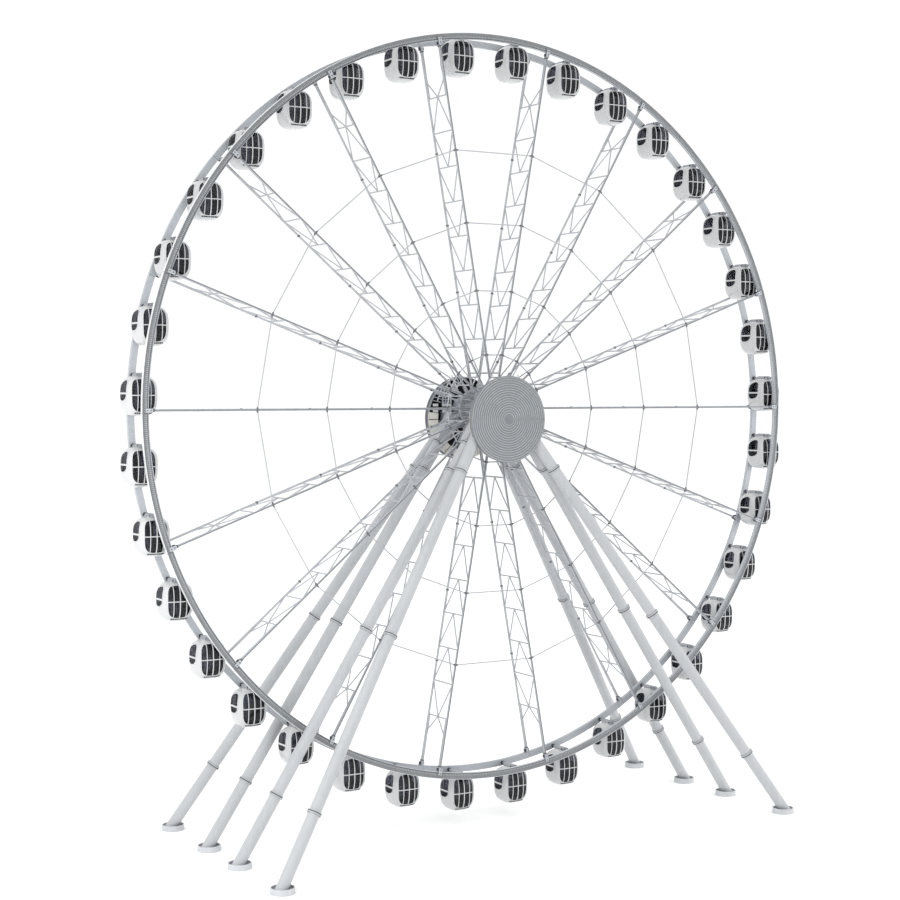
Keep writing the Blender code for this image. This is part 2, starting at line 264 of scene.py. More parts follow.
class Shape:
    """Gathers closed forms into one mesh."""

    def __init__(self, kit=None, finish=None):
        self.bm = bmesh.new()
        self.kit = kit
        self.used = [finish]
        self.finish = finish

    def paint(self, faces, finish=None):
        """Give faces a finish, or else the one in use."""
        name = finish or self.finish
        if name not in self.used:
            self.used.append(name)
        for face in faces:
            face.material_index = self.used.index(name)

    def paint_around(self, verts):
        """Give the faces of new corners the finish in use."""
        self.paint({face for vert in verts for face in vert.link_faces})

    def tube(self, start, end, radius, sides=16):
        """Add a closed round bar from one point to another."""
        start, end = Vector(start), Vector(end)
        place = Matrix.Translation((start + end) / 2) @ facing(end - start)
        made = bmesh.ops.create_cone(self.bm, cap_ends=True, segments=sides, radius1=radius, radius2=radius,
                                     depth=(end - start).length, matrix=place)
        self.paint_around(made["verts"])

    def box(self, size, place, bevel=CHAMFER):
        """Add a box of a full size at a point or a matrix, with its edges cut back."""
        if not isinstance(place, Matrix):
            place = Matrix.Translation(place)
        made = bmesh.ops.create_cube(self.bm, size=1.0, matrix=place @ Matrix.Diagonal((*size, 1.0)))
        edges = list({edge for vert in made["verts"] for edge in vert.link_edges})
        cut = bmesh.ops.bevel(self.bm, geom=edges, offset=bevel, segments=1, affect="EDGES")
        self.paint_around(cut["verts"])

    def turned(self, outline, steps, place=HERE, start=0.0, arc=2 * pi, closed=True):
        """Turn an outline of (radius, height) points about local Z. A third value is that edge's finish."""
        whole = arc > 2 * pi - 0.001
        latest = {}
        rows = []
        for step in range(steps if whole else steps + 1):
            angle = start + arc * step / steps
            for index, (radius, height, *_) in enumerate(outline):
                if radius or index not in latest:
                    latest[index] = self.bm.verts.new(place @ polar(radius, angle, height))
            rows.append([latest[index] for index in range(len(outline))])
        edges = range(len(outline) if closed else len(outline) - 1)
        for one, two in zip(rows, rows[1:] + (rows[:1] if whole else [])):
            for index in edges:
                after = (index + 1) % len(outline)
                corners = list(dict.fromkeys((one[index], two[index], two[after], one[after])))
                if len(corners) > 2:
                    self.paint([self.bm.faces.new(corners)], *outline[index][2:])
        if closed and not whole:
            self.paint([self.bm.faces.new(rows[0]), self.bm.faces.new(rows[-1])])

    def lofted(self, rows, capped=True):
        """Join closed rows of points with faces, and give their corners."""
        rows = [[self.bm.verts.new(point) for point in row] for row in rows]
        for one, two in zip(rows, rows[1:]):
            for (low, low_next), (high, high_next) in zip(ringed(one), ringed(two)):
                self.paint([self.bm.faces.new((low, high, high_next, low_next))])
        if capped:
            self.paint([self.bm.faces.new(rows[0]), self.bm.faces.new(rows[-1])])
        return rows

    def fan(self, row, point):
        """Join a closed row of corners to a point."""
        tip = self.bm.verts.new(point)
        self.paint([self.bm.faces.new((one, two, tip)) for one, two in ringed(row)])

    def swept(self, points, outward, width, rise, sink):
        """Add a bar of oblong section along points, with the outward direction at each of them."""
        rows = []
        for index, (point, out) in enumerate(zip(points, outward)):
            along = points[min(index + 1, len(points) - 1)] - points[max(index - 1, 0)]
            side = along.cross(out).normalized() * width / 2
            rows.append((point + side + out * rise, point - side + out * rise,
                         point - side - out * sink, point + side - out * sink))
        self.lofted(rows)

    def bolts(self, centre, axis, radius, count, head, height, start=0.0):
        """Add a circle of six-sided bolt heads that stand along an axis."""
        place = Matrix.Translation(centre) @ facing(axis)
        for index in range(count):
            foot = polar(radius, start + 2 * pi * index / count)
            self.tube(place @ foot, place @ (foot + Vector((0, 0, height))), head, 6)

    def plain_mesh(self, name):
        """Turn the faces outward and give the mesh."""
        bmesh.ops.recalc_face_normals(self.bm, faces=self.bm.faces[:])
        return written(self.bm, name)

    def mesh(self, name):
        """Give the mesh with its finishes and with its round faces smooth."""
        return dressed(self.plain_mesh(name), [self.kit[finish] for finish in self.used] if self.kit else [])


def piece(name, mesh, body, place=HERE, replaces=()):
    """Put a mesh in the scene as a piece that rides on a body."""
    item = linked(name, mesh)
    item.matrix_world = place
    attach(item, body)
    if replaces:
        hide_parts(*replaces)


def evaluated(item):
    """Give an object's mesh with its modifiers applied."""
    bpy.context.view_layer.update()
    return bpy.data.meshes.new_from_object(item.evaluated_get(bpy.context.evaluated_depsgraph_get()))


def carve(mesh, cutters, operation="DIFFERENCE"):
    """Cut a mesh with each of the cutter meshes in turn and give the result."""
    base = linked("carve", mesh)
    tools = []
    for cutter in cutters:
        tools.append(linked("cutter", cutter))
        cut = base.modifiers.new("cut", "BOOLEAN")
        cut.operation = operation
        cut.object = tools[-1]
    made = evaluated(base)
    for item in (base, *tools):
        bpy.data.objects.remove(item, do_unlink=True)
    return made


def thickened(mesh, thickness):
    """Give a skin its thickness, inward."""
    item = linked("thicken", mesh)
    wall = item.modifiers.new("wall", "SOLIDIFY")
    wall.thickness = thickness
    wall.offset = -1
    made = evaluated(item)
    bpy.data.objects.remove(item, do_unlink=True)
    return made


def joined(meshes):
    """Put several meshes into one, and keep the finish number of each face."""
    bm = bmesh.new()
    for mesh in meshes:
        bm.from_mesh(mesh)
    return written(bm, "joined")


def feed(tree, node, values):
    """Give each named input of a node its value, or a socket to follow."""
    for name, value in values.items():
        if isinstance(value, bpy.types.NodeSocket):
            tree.links.new(value, node.inputs[name])
        else:
            node.inputs[name].default_value = value


def add(tree, kind, values=None, **settings):
    """Add a shader node with its settings and inputs."""
    node = tree.nodes.new(kind)
    for name, value in settings.items():
        setattr(node, name, value)
    feed(tree, node, values or {})
    return node


def maths(tree, operation, *values):
    """Add a math node on its values, each a socket or a number, and give its result."""
    return add(tree, "ShaderNodeMath", dict(enumerate(values)), operation=operation).outputs[0]


def own_place(tree):
    """Give the socket with a point's place in its own object."""
    return add(tree, "ShaderNodeTexCoord").outputs["Object"]


def noise(tree, place, scale, detail=3.0):
    """Add a noise texture and give its value."""
    values = {"Vector": place, "Scale": scale, "Detail": detail}
    return add(tree, "ShaderNodeTexNoise", values).outputs["Fac"]


def ramp(tree, value, *stops):
    """Add a ramp between two stops, each a position and a colour, and give its colour."""
    node = add(tree, "ShaderNodeValToRGB", {"Fac": value})
    for element, (position, shade) in zip(node.color_ramp.elements, stops):
        element.position = position
        element.color = shade
    return node.outputs["Color"]


def weather_group():
    """Build the group for weathered paint: patches, rain streaks, fine grain and their roughness."""
    tree = bpy.data.node_groups.get("weathered_paint")
    if tree:
        return tree
    tree = bpy.data.node_groups.new("weathered_paint", "ShaderNodeTree")
    inward = {"Paint": (0.5, 0.5, 0.5, 1), "Dirt": (0.2, 0.2, 0.2, 1), "Dirt Amount": 0.25,
              "Patch Scale": 1.2, "Grain Scale": 60.0, "Gloss Loss": 0.15, "Base Roughness": 0.4}
    for name in (*inward, "Colour", "Roughness", "Height"):
        kind = "NodeSocketColor" if name in ("Paint", "Dirt", "Colour") else "NodeSocketFloat"
        way = "INPUT" if name in inward else "OUTPUT"
        made = tree.interface.new_socket(name=name, in_out=way, socket_type=kind)
        if name in inward:
            made.default_value = inward[name]
    given = add(tree, "NodeGroupInput").outputs
    place = own_place(tree)
    patches = noise(tree, place, given["Patch Scale"])
    drawn = add(tree, "ShaderNodeMapping", {"Scale": (9.0, 9.0, 0.7), "Vector": place}).outputs["Vector"]
    streaks = noise(tree, drawn, 1.0, 4.0)
    grain = noise(tree, place, given["Grain Scale"], 2.0)
    both = maths(tree, "MULTIPLY", patches, streaks)
    worn = add(tree, "ShaderNodeMapRange", {"From Min": 0.18, "From Max": 0.42, "Value": both})
    mask = maths(tree, "MULTIPLY", worn.outputs["Result"], given["Dirt Amount"])
    colours = {"Factor": mask, "A": given["Paint"], "B": given["Dirt"]}
    mixed = add(tree, "ShaderNodeMix", colours, data_type="RGBA")
    dulled = maths(tree, "MULTIPLY", mask, given["Gloss Loss"])
    speckle = maths(tree, "MULTIPLY", grain, 0.08)
    rough = maths(tree, "ADD", maths(tree, "ADD", dulled, speckle), given["Base Roughness"])
    add(tree, "NodeGroupOutput", {"Colour": mixed.outputs["Result"], "Roughness": rough, "Height": grain})
    return tree


def shades(value, factor):
    """Give a colour made darker or lighter, as a socket wants it."""
    return (*(min(1.0, part * factor) for part in value), 1.0)


def new_finish(name):
    """Start a material, and give it with its node tree and its shader."""
    material = bpy.data.materials.new(name)
    material.use_nodes = True
    return material, material.node_tree, material.node_tree.nodes["Principled BSDF"]


def painted(name, paint, roughness, dirt=0.25, metallic=0.0, coat=0.0, patch=1.2, grain=60.0, bump=0.15,
            dirt_shade=0.62):
    """Make a paint, plastic or metal finish from the weathering group."""
    if name in bpy.data.materials:
        return bpy.data.materials[name]
    material, tree, shader = new_finish(name)
    worn = add(tree, "ShaderNodeGroup", {
        "Paint": shades(paint, 1.0), "Dirt": shades(paint, dirt_shade), "Dirt Amount": dirt,
        "Patch Scale": patch, "Grain Scale": grain, "Base Roughness": roughness,
    }, node_tree=weather_group()).outputs
    relief = add(tree, "ShaderNodeBump", {"Strength": bump, "Distance": 0.002, "Height": worn["Height"]})
    feed(tree, shader, {
        "Base Color": worn["Colour"], "Roughness": worn["Roughness"], "Normal": relief.outputs["Normal"],
        "Metallic": metallic, "Coat Weight": coat, "Coat Roughness": 0.08,
    })
    return material


def tinted_glass(name, tint, bend):
    """Make dark glass that bends light by an index, with faint smears in its tint and its gloss."""
    if name in bpy.data.materials:
        return bpy.data.materials[name]
    material, tree, shader = new_finish(name)
    smears = noise(tree, own_place(tree), 6.0)
    feed(tree, shader, {
        "Base Color": ramp(tree, smears, (0.35, shades(tint, 0.8)), (0.65, shades(tint, 1.15))),
        "Roughness": maths(tree, "MULTIPLY_ADD", smears, 0.05, 0.02),
        "Transmission Weight": 1.0, "IOR": bend,
    })
    return material


def finishes(context):
    """Make or find every finish, by name."""
    tone = context.scene.wheel_colours
    return {
        "leg": painted("leg_paint_finish", tone.leg, 0.32, coat=0.25, patch=0.6, dirt=0.22),
        "head": painted("head_paint_finish", tone.head, 0.42, patch=1.6, dirt=0.35),
        "spoke": painted("spoke_paint_finish", tone.spoke, 0.42, metallic=0.15, patch=2.0, dirt=0.3),
        "rim": painted("rim_paint_finish", tone.rim, 0.36, coat=0.15, patch=1.0, dirt=0.25),
        "strip": painted("lamp_strip_finish", tone.strip, 0.5, patch=4.0, dirt=0.3),
        "rim_edge": painted("rim_edge_finish", tone.rim_edge, 0.34, coat=0.15, patch=1.4, dirt=0.2,
                            dirt_shade=0.78),
        "band": painted("rim_band_finish", tone.rim_band, 0.55, patch=3.0, dirt=0.3),
        "lamp_band": painted("lamp_band_finish", tone.lamp_band, 0.55, patch=3.0, dirt=0.3),
        "lamp": painted("lamp_finish", tone.lamp, 0.25, coat=0.5, patch=9.0, dirt=0.2),
        "disc": painted("disc_face_finish", tone.disc, 0.5, patch=1.4, dirt=0.25, grain=120.0),
        "ring": painted("lamp_ring_finish", tone.ring, 0.3, coat=0.3, patch=2.2, dirt=0.3),
        "clamp": painted("clamp_finish", (0.13, 0.135, 0.145), 0.5, patch=8.0),
        "foot": painted("foot_paint_finish", shades(tone.leg, 1.22)[:3], 0.4, patch=2.5, dirt=0.4),
        "steel": painted("dark_steel_finish", (0.055, 0.06, 0.07), 0.45, metallic=0.6, patch=8.0),
        "bolt": painted("bolt_finish", (0.42, 0.43, 0.44), 0.35, metallic=0.9, patch=20.0, dirt=0.5),
        "shell": painted("cabin_shell_finish", tone.shell, 0.22, coat=0.6, patch=2.5, dirt=0.12, bump=0.05,
                         dirt_shade=0.8),
        "glass": tinted_glass("cabin_glass_finish", tone.glass, 1.35),
        "side_glass": tinted_glass("side_glass_finish", tone.side_glass, 1.08),
        # Near-black painted shade for the vent slots.
        "vent_shade": painted("vent_slot_shade_finish", (0.025, 0.027, 0.03), 0.6, patch=12.0),
        "seat": painted("seat_finish", tone.seat, 0.5, patch=6.0),
        "housing": painted("bearing_housing_finish", (0.32, 0.335, 0.36), 0.4, metallic=0.2, patch=6.0),
        # Dark grey of the plate behind each disc; on the floor of each foot's cup it is painted shade.
        "plate": painted("back_plate_and_foot_shade_finish", (0.19, 0.20, 0.215), 0.5, patch=1.8, dirt=0.5),
        "cream": painted("cover_panel_finish", (0.56, 0.55, 0.50), 0.4, patch=1.8, dirt=0.35),
        # Near-black painted shade: behind the openings of the disc frames and inside the cabins.
        "painted_shade": painted("painted_shade_finish", (0.006, 0.006, 0.007), 0.9, patch=3.0),
    }


def leg_ends(foot):
    """Give a leg's centre line, at its foot's top and in the head, and whether it is an inner leg."""
    inner = abs(foot.y) < (abs(FEET[0].y) + max(abs(spot.y) for spot in FEET)) / 2
    top_y = LEG_TOP_Y_INNER if inner else LEG_TOP_Y_OUTER
    high = Vector((copysign(LEG_TOP_X, foot.x), copysign(top_y, foot.y), AXLE + LEG_TOP_Z))
    return Vector((foot.x, foot.y, FOOT_HEIGHT)), high, inner


def leg_name(foot):
    """Name a leg by its corner, front or rear, left or right, inner or outer."""
    front = "front" if foot.y < 0 else "rear"
    left = "left" if foot.x < 0 else "right"
    return f"{front}_{left}_{'inner' if leg_ends(foot)[2] else 'outer'}"


def on_leg(low, up, level):
    """Give the point of a leg's centre line at a level."""
    return low + up * ((level - low.z) / up.z)


def leg_mesh(foot, sizes, kit):
    """Make one leg: a long tube, its bolted ring joints, and on an inner leg its square sleeve."""
    low, high, inner = leg_ends(foot)
    up = (high - low).normalized()
    base = FOOT_FLOOR - 0.02
    start = on_leg(low, up, base)
    shape = Shape(kit, "leg")
    shape.turned(oblong(0, LEG_RADIUS, -0.1, (high - start).length), 48,
                 Matrix.Translation(start) @ facing(up), closed=False)
    cut = bmesh.ops.bisect_plane(shape.bm, geom=shape.bm.verts[:] + shape.bm.edges[:] + shape.bm.faces[:],
                                 plane_co=(0, 0, base), plane_no=(0, 0, 1), clear_inner=True)
    end = [part for part in cut["geom_cut"] if isinstance(part, bmesh.types.BMEdge)]
    bmesh.ops.contextual_create(shape.bm, geom=end)
    for drop in JOINT_DROPS + ((SLEEVE_DROP,) if inner else ()):
        ring_joint(shape, on_leg(low, up, AXLE - drop), up, sizes.flange_height)
    if inner:
        square_sleeve(shape, low, high, up)
    return shape.mesh(leg_name(foot) + "_leg")


def ring_joint(shape, centre, up, height):
    """Add a bolted joint around a leg: two thin rings with a dark packing between them."""
    place = Matrix.Translation(centre) @ facing(up)
    inside = LEG_RADIUS - 0.01
    reach = LEG_RADIUS + height
    bevel = 0.004
    shape.finish = "leg"
    for low, high in ((0.014, 0.046), (-0.046, -0.014)):
        outline = [(inside, low), (reach - bevel, low), (reach, low + bevel), (reach, high - bevel),
                   (reach - bevel, high), (inside, high)]
        shape.turned(outline, 48, place)
    shape.finish = "steel"
    shape.turned(oblong(inside, reach - 0.008, -0.015, 0.015), 48, place)
    shape.finish = "bolt"
    for way in (up, -up):
        shape.bolts(centre + way * 0.046, way, LEG_RADIUS + height * 0.55, 16, 0.009, 0.012)


def square_sleeve(shape, low, high, up):
    """Add the tapered square box around the top of an inner leg."""
    shape.finish = "leg"
    bottom = on_leg(low, up, AXLE - SLEEVE_DROP + 0.05)
    along = high - bottom
    side = Vector((0, 1, 0))
    flat = (side - up * side.dot(up)).normalized()
    other = up.cross(flat)
    sections = ((bottom, 0.17, 0.178), (bottom + along * 0.5, 0.172, 0.19), (high, 0.172, 0.21))
    shape.lofted([
        [spot + flat * half_flat * a + other * half_other * b
         for a, b in ((1, 1), (1, -1), (-1, -1), (-1, 1))]
        for spot, half_flat, half_other in sections
    ])


def foot_mesh(kit):
    """Make one round foot: a cup with a raised lip, a base ring and anchor bolts."""
    shape = Shape(kit, "foot")
    well = FOOT_RADIUS - FOOT_WALL
    wall = FOOT_RADIUS - 0.004
    bevel = 0.006
    # The cup's floor takes the dark back-plate finish: painted shade in the recess.
    outline = [
        (0, FOOT_FLOOR, "plate"), (well - 0.01, FOOT_FLOOR, "plate"), (well, FOOT_FLOOR + 0.01),
        (well, FOOT_HEIGHT - bevel), (well + bevel, FOOT_HEIGHT), (FOOT_RADIUS - 0.012, FOOT_HEIGHT),
        (wall, FOOT_HEIGHT - bevel), (wall, 0.03), (FOOT_RADIUS, 0.025), (FOOT_RADIUS, 0.0), (0, 0),
    ]
    shape.turned(outline, 72, closed=False)
    shape.finish = "bolt"
    shape.bolts((0, 0, FOOT_FLOOR), (0, 0, 1), well - 0.045, 12, 0.016, 0.02, pi / 12)
    return shape.mesh("leg_foot")


class WHEEL_OT_legs(bpy.types.Operator):
    """Make the eight legs with their joints and feet."""

    bl_idname = "wheel.legs"
    bl_label = "Legs and feet"

    def execute(self, context):
        kit = finishes(context)
        sizes = context.scene.wheel_sizes
        base = foot_mesh(kit)
        for foot in FEET:
            piece(leg_name(foot) + "_leg", leg_mesh(foot, sizes, kit), "support",
                  replaces=("support_frame",))
            turn = spun(atan2(-foot.y, -foot.x), "Z")
            place = at(foot.x, foot.y, 0) @ turn
            piece(leg_name(foot) + "_foot", base, "support", place)
        return {"FINISHED"}


def head_mesh(kit):
    """Make the head at the rear: two cross beams with plates between them, around the bearing drum."""
    shape = Shape(kit, "head")
    far = DISC_FACE - 0.06
    ends, neck = 0.36, 0.31
    drum = [(0.0, HEAD_NEAR), (ends, HEAD_NEAR), (ends, HEAD_NEAR + 0.06), (neck, HEAD_NEAR + 0.07),
            (neck, far - 0.09), (ends, far - 0.08), (ends, far), (0.0, far)]
    shape.turned(drum, 64, TURN_X @ Matrix.Scale(-1, 4, (0, 0, 1)), closed=False)
    middle = (HEAD_BOTTOM + HEAD_TOP) / 2
    tall = HEAD_TOP - HEAD_BOTTOM
    wide = 2 * HEAD_HALF_WIDTH
    for y in (HEAD_NEAR + 0.06, far - 0.06):
        shape.box((wide, 0.10, tall), (0, y, middle), 0.008)
        for z in (HEAD_BOTTOM + 0.015, HEAD_TOP - 0.015):
            shape.box((wide + 0.02, 0.13, 0.03), (0, y, z))
    span = far - HEAD_NEAR - 0.12
    centre = (HEAD_NEAR + far) / 2
    for x in (-0.77, -0.40, 0.40, 0.77):
        shape.box((0.03, span, tall - 0.04), (x, centre, middle))
    shape.box((wide - 0.02, span, 0.02), (0, centre, HEAD_TOP - 0.01))
    for x in (-0.58, 0.58):
        shape.box((0.30, span, 0.02), (x, centre, HEAD_BOTTOM + 0.012))
    for side in (-1, 1):
        for y in (HEAD_NEAR + 0.05, far - 0.05):
            gusset = at(side * 0.44, y, -0.03) @ spun(side * 0.55, "Y")
            shape.box((0.34, 0.03, 0.14), gusset)
    shape.finish = "bolt"
    shape.bolts((0, HEAD_NEAR, 0), (0, -1, 0), 0.325, 20, 0.014, 0.016)
    return shape.mesh("head")


def spindle_mesh(kit):
    """Make the fixed spindle with a collar against each head."""
    shape = Shape(kit, "housing")
    gap = HUB_END + 0.0005
    half = [(0, SPINDLE_REACH), (SPINDLE_RADIUS, SPINDLE_REACH), (SPINDLE_RADIUS, HEAD_NEAR),
            (COLLAR_RADIUS, HEAD_NEAR), (COLLAR_RADIUS, gap), (SPINDLE_RADIUS, gap)]
    shape.turned(mirrored(half), 64, TURN_X, closed=False)
    return shape.mesh("spindle")


class WHEEL_OT_heads(bpy.types.Operator):
    """Make the two heads on the legs and the spindle between them."""

    bl_idname = "wheel.heads"
    bl_label = "Heads and spindle"

    def execute(self, context):
        kit = finishes(context)
        mesh = head_mesh(kit)
        level = at(0, 0, AXLE)
        piece("rear_head", mesh, "support", level)
        piece("front_head", mesh, "support", level @ spun(pi, "Z"))
        piece("spindle", spindle_mesh(kit), "support", level)
        return {"FINISHED"}


def disc_mesh(sizes, kit):
    """Make a disc's face, turned up at its edge, with its round lamp tubes and the cable that feeds them."""
    shape = Shape(kit, "disc")
    thick = 0.028
    edge = 0.05
    outline = [(0, 0), (DISC_RADIUS - 0.006, 0), (DISC_RADIUS, -0.006), (DISC_RADIUS, -edge),
               (DISC_RADIUS - thick, -edge), (DISC_RADIUS - thick, -thick), (0, -thick)]
    shape.turned(outline, 144, closed=False)
    radius = DISC_RADIUS - 0.035
    half = sizes.ring_width / 2
    pitch = sizes.ring_pitch
    while radius > 0.17:
        tube = [(radius - half, -0.004), (radius - half, 0.004), (radius - half * 0.5, 0.010),
                (radius + half * 0.5, 0.010), (radius + half, 0.004), (radius + half, -0.004)]
        shape.finish = "ring"
        shape.turned(tube, 120)
        shape.finish = "disc"
        shape.box((0.024, 0.026, 0.020), (radius, 0, 0.006), 0.003)
        shape.finish = "ring"
        shape.box((pitch * 0.55, 0.015, 0.006), (radius - pitch / 2, 0, 0.003), 0.001)
        radius -= pitch
    shape.finish = "disc"
    boss = [(0, 0.012), (0.05, 0.012), (0.055, 0.006), (0.055, -0.002), (0, -0.002)]
    shape.turned(boss, 48, closed=False)
    return shape.mesh("disc")


# Openings in the plate behind a disc, from the axle: middle across and up, half width, half height, corners
OPENINGS = (
    (-0.07, 0.63, 0.16, 0.10, 28), (0.40, 0.74, 0.13, 0.10, 28), (0.10, 0.94, 0.12, 0.06, 28),
    (-0.60, 0.80, 0.12, 0.09, 28), (-0.36, 0.60, 0.11, 0.08, 28), (-0.11, -0.58, 0.15, 0.09, 28),
    (0.80, 0.56, 0.10, 0.07, 28), (-0.95, -0.30, 0.12, 0.08, 28), (-0.10, -0.29, 0.15, 0.08, 28),
    (0.62, 0.86, 0.08, 0.09, 3), (-0.30, 0.90, 0.09, 0.08, 3), (0.34, 0.50, 0.07, 0.06, 3),
    (0.78, 0.0, 0.30, 0.055, 4), (-0.78, 0.0, 0.30, 0.055, 4), (0.70, -0.34, 0.27, 0.26, 3),
    (-0.70, -0.34, 0.27, 0.26, 3), (0.52, -1.20, 0.10, 0.12, 3), (-0.60, -1.22, 0.10, 0.10, 3),
)
# Thin struts over that plate: middle across and up, length and lean in degrees
STRUTS = (
    (0.62, 0.52, 0.80, -28), (0.66, 0.68, 0.55, -62), (0.34, 0.78, 0.62, 64), (0.22, 0.72, 0.55, -50),
    (0.92, 0.42, 0.40, -70), (0.50, 0.62, 0.50, 20), (0.72, -0.62, 0.60, 48), (0.34, -0.72, 0.62, -60),
    (0.24, -0.70, 0.50, 55),
)


def openings_mesh():
    """Make the cutter for the openings in the plate behind a disc."""
    shape = Shape()
    deep = 0.3
    for across, up, half_wide, half_high, corners in OPENINGS:
        place = at(across, up, 0) @ Matrix.Diagonal((half_wide, half_high, 1.0, 1.0))
        turn = spun(-pi / 2 if corners == 3 else pi / corners, "Z")
        shape.turned(oblong(0, 1, deep, -deep), corners, place @ turn, closed=False)
    return shape.mesh("openings")


def disc_frame_mesh(kit):
    """Make the frame behind a disc: a near-black painted-shade sheet, an open plate, blocks, struts, ribs
    and covers.
    """
    drop = AXLE - DISC_LEVEL
    level = at(0, drop, 0)
    back = -0.03
    plate = -0.17
    plain = Shape()
    plain.turned(oblong(0, DISC_RADIUS - 0.05, plate + 0.008, plate - 0.008), 96,
                 at(0, -drop, 0), closed=False)
    open_plate = carve(plain.mesh("plate"), [openings_mesh()])
    open_plate.transform(level)
    shape = Shape(kit, "plate")
    shape.bm.from_mesh(open_plate)
    # A near-black sheet behind the open plate: painted shade that makes the openings look deep and dark.
    shape.finish = "painted_shade"
    shape.turned(oblong(0, DISC_RADIUS - 0.035, back - 0.004, back - 0.012), 96, closed=False)
    shape.finish = "strip"
    shape.turned(oblong(DISC_RADIUS - 0.05, DISC_RADIUS - 0.032, back - 0.012, plate - 0.03), 96)

    def over_plate(across, up, lift):
        """Give a place from the axle at a lift over the plate."""
        return level @ at(across, up, plate - lift)

    for way in (-1, 1):
        shape.finish = "rim_edge"
        for up in (-0.10, 0.10):
            shape.box((0.29, 0.085, 0.12), over_plate(way * 0.67, up, 0.065))
            shape.box((0.16, 0.085, 0.08), over_plate(way * 1.07, up, 0.045))
        shape.box((0.03, 0.56, 0.05), over_plate(way * 0.50, 0.20, 0.035))
        for across, up, reach, lean in STRUTS:
            turn = spun(way * radians(lean), "Z")
            shape.box((reach, 0.03, 0.05), over_plate(way * across, up, 0.03) @ turn)
        shape.finish = "head"
        shape.box((0.34, 0.34, 0.014), over_plate(way * 0.66, 0.27, 0.045), 0.003)
        for index in range(6):
            turn = spun(radians(12 + 6 * index if way > 0 else 168 - 6 * index), "Z")
            shape.box((0.26, 0.022, 0.07), level @ turn @ at(1.03, 0, plate - 0.035))
        # A grid of near-black squares of painted shade on the square plate.
        shape.finish = "painted_shade"
        for row in range(4):
            for column in range(3):
                place = over_plate(way * (0.56 + 0.095 * column), 0.155 + 0.078 * row, 0.052)
                shape.box((0.055, 0.048, 0.006), place, 0.001)
        shape.finish = "cream"
        edge = DISC_RADIUS - 0.025
        cover = [(edge, plate - 0.012), (edge, plate - 0.034),
                 (edge - 0.26, plate - 0.18), (edge - 0.28, plate - 0.16)]
        for index in range(8):
            start = 11 * index - 78 if way > 0 else 170 + 11 * index
            shape.turned(cover, 5, HERE, radians(start), radians(9.8))
    return shape.mesh("disc_frame")


class WHEEL_OT_discs(bpy.types.Operator):
    """Make the two round discs with their lamp rings and the frames behind them."""

    bl_idname = "wheel.discs"
    bl_label = "Round discs"

    def execute(self, context):
        kit = finishes(context)
        face = disc_mesh(context.scene.wheel_sizes, kit)
        behind = disc_frame_mesh(kit)
        outward = {
            "front": at(0, -DISC_FACE, DISC_LEVEL) @ TURN_X,
            "rear": at(0, DISC_FACE, DISC_LEVEL) @ spun(pi, "Z") @ TURN_X,
        }
        for side, place in outward.items():
            piece(side + "_disc_face", face, "support", place, (side + "_disc",))
            piece(side + "_disc_frame", behind, "support", place)
        return {"FINISHED"}


def hub_mesh(kit):
    """Make the turning hub: a ribbed drum and two flanges with bolts around their edges."""
    shape = Shape(kit, "spoke")
    near = RIM_Y - 0.06
    bevel = 0.01
    half = [
        (0.21, HUB_END), (0.34, HUB_END), (0.34, HUB_END - 0.02), (HUB_FLANGE - bevel, HUB_END - 0.02),
        (HUB_FLANGE, HUB_END - 0.03), (HUB_FLANGE, near + bevel), (HUB_FLANGE - bevel, near), (0.42, near),
        (0.40, near - 0.02),
    ]
    shape.turned(mirrored(half), 72, TURN_X)
    for index in range(SPOKE_COUNT):
        turn = spun(-BAY * (index + 0.5), "Y")
        shape.box((0.17, 2 * near - 0.02, 0.02), turn @ at(0.475, 0, 0), 0.003)
    shape.finish = "bolt"
    for side in (-1, 1):
        shape.bolts((0, side * (HUB_END - 0.02), 0), (0, side, 0), 0.46, 36, 0.013, 0.014)
    return shape.mesh("hub")


class WHEEL_OT_hub(bpy.types.Operator):
    """Make the turning hub."""

    bl_idname = "wheel.hub"
    bl_label = "Hub"

    def execute(self, context):
        mesh = hub_mesh(finishes(context))
        piece("hub_drum", mesh, "wheel", at(0, 0, AXLE), ("hub",))
        return {"FINISHED"}


def truss_mesh(sizes, kit):
    """Make one spoke along +X: two square chords, stout near the rims, with rungs, braces and collars."""
    shape = Shape(kit, "spoke")
    near = HUB_FLANGE - 0.06
    far = RIM_INNER - 0.012
    width = sizes.chord_width
    slim = RUNG_OUTER + width - near
    stout = far - RUNG_OUTER
    strip_start = near + 0.24
    rungs = [RUNG_OUTER - RUNG_PITCH * index for index in range(RUNG_COUNT)]
    for side in (-1, 1):
        y = side * RIM_Y
        inward = y - side * (sizes.stout_depth - width) / 2
        shape.finish = "spoke"
        shape.box((slim, width, width), (near + slim / 2, y, 0))
        shape.box((stout, sizes.stout_depth, width + 0.002), (RUNG_OUTER + stout / 2, inward, 0))
        shape.box((0.24, 0.09, 0.09), (near + 0.12, y, 0), 0.008)
        shape.tube((SPLAY_RADIUS, y, 0), (RUNG_OUTER, 0, 0), sizes.brace_radius, 8)
        shape.tube((RUNG_OUTER - RUNG_PITCH, y, 0), (RUNG_OUTER, 0, 0), sizes.brace_radius, 8)
        for radius in rungs[1:-1]:
            shape.tube((radius, y, 0), (radius - RUNG_PITCH, 0, 0), sizes.brace_radius, 8)
        end_fitting(shape, side, inward)
        shape.finish = "clamp"
        for radius in TIE_RADII:
            shape.box((0.055, width + 0.022, width + 0.022), (radius, y, 0), 0.006)
    shape.finish = "spoke"
    for radius in rungs:
        shape.tube((radius, -RIM_Y, 0), (radius, RIM_Y, 0), sizes.rung_radius, 10)
    shape.finish = "strip"
    strip = far - 0.17 - near - 0.24
    face = -RIM_Y - width / 2 - 0.002
    shape.box((strip, 0.010, 0.036), (strip_start + strip / 2, face, 0), 0.002)
    return shape.mesh("spoke_truss")


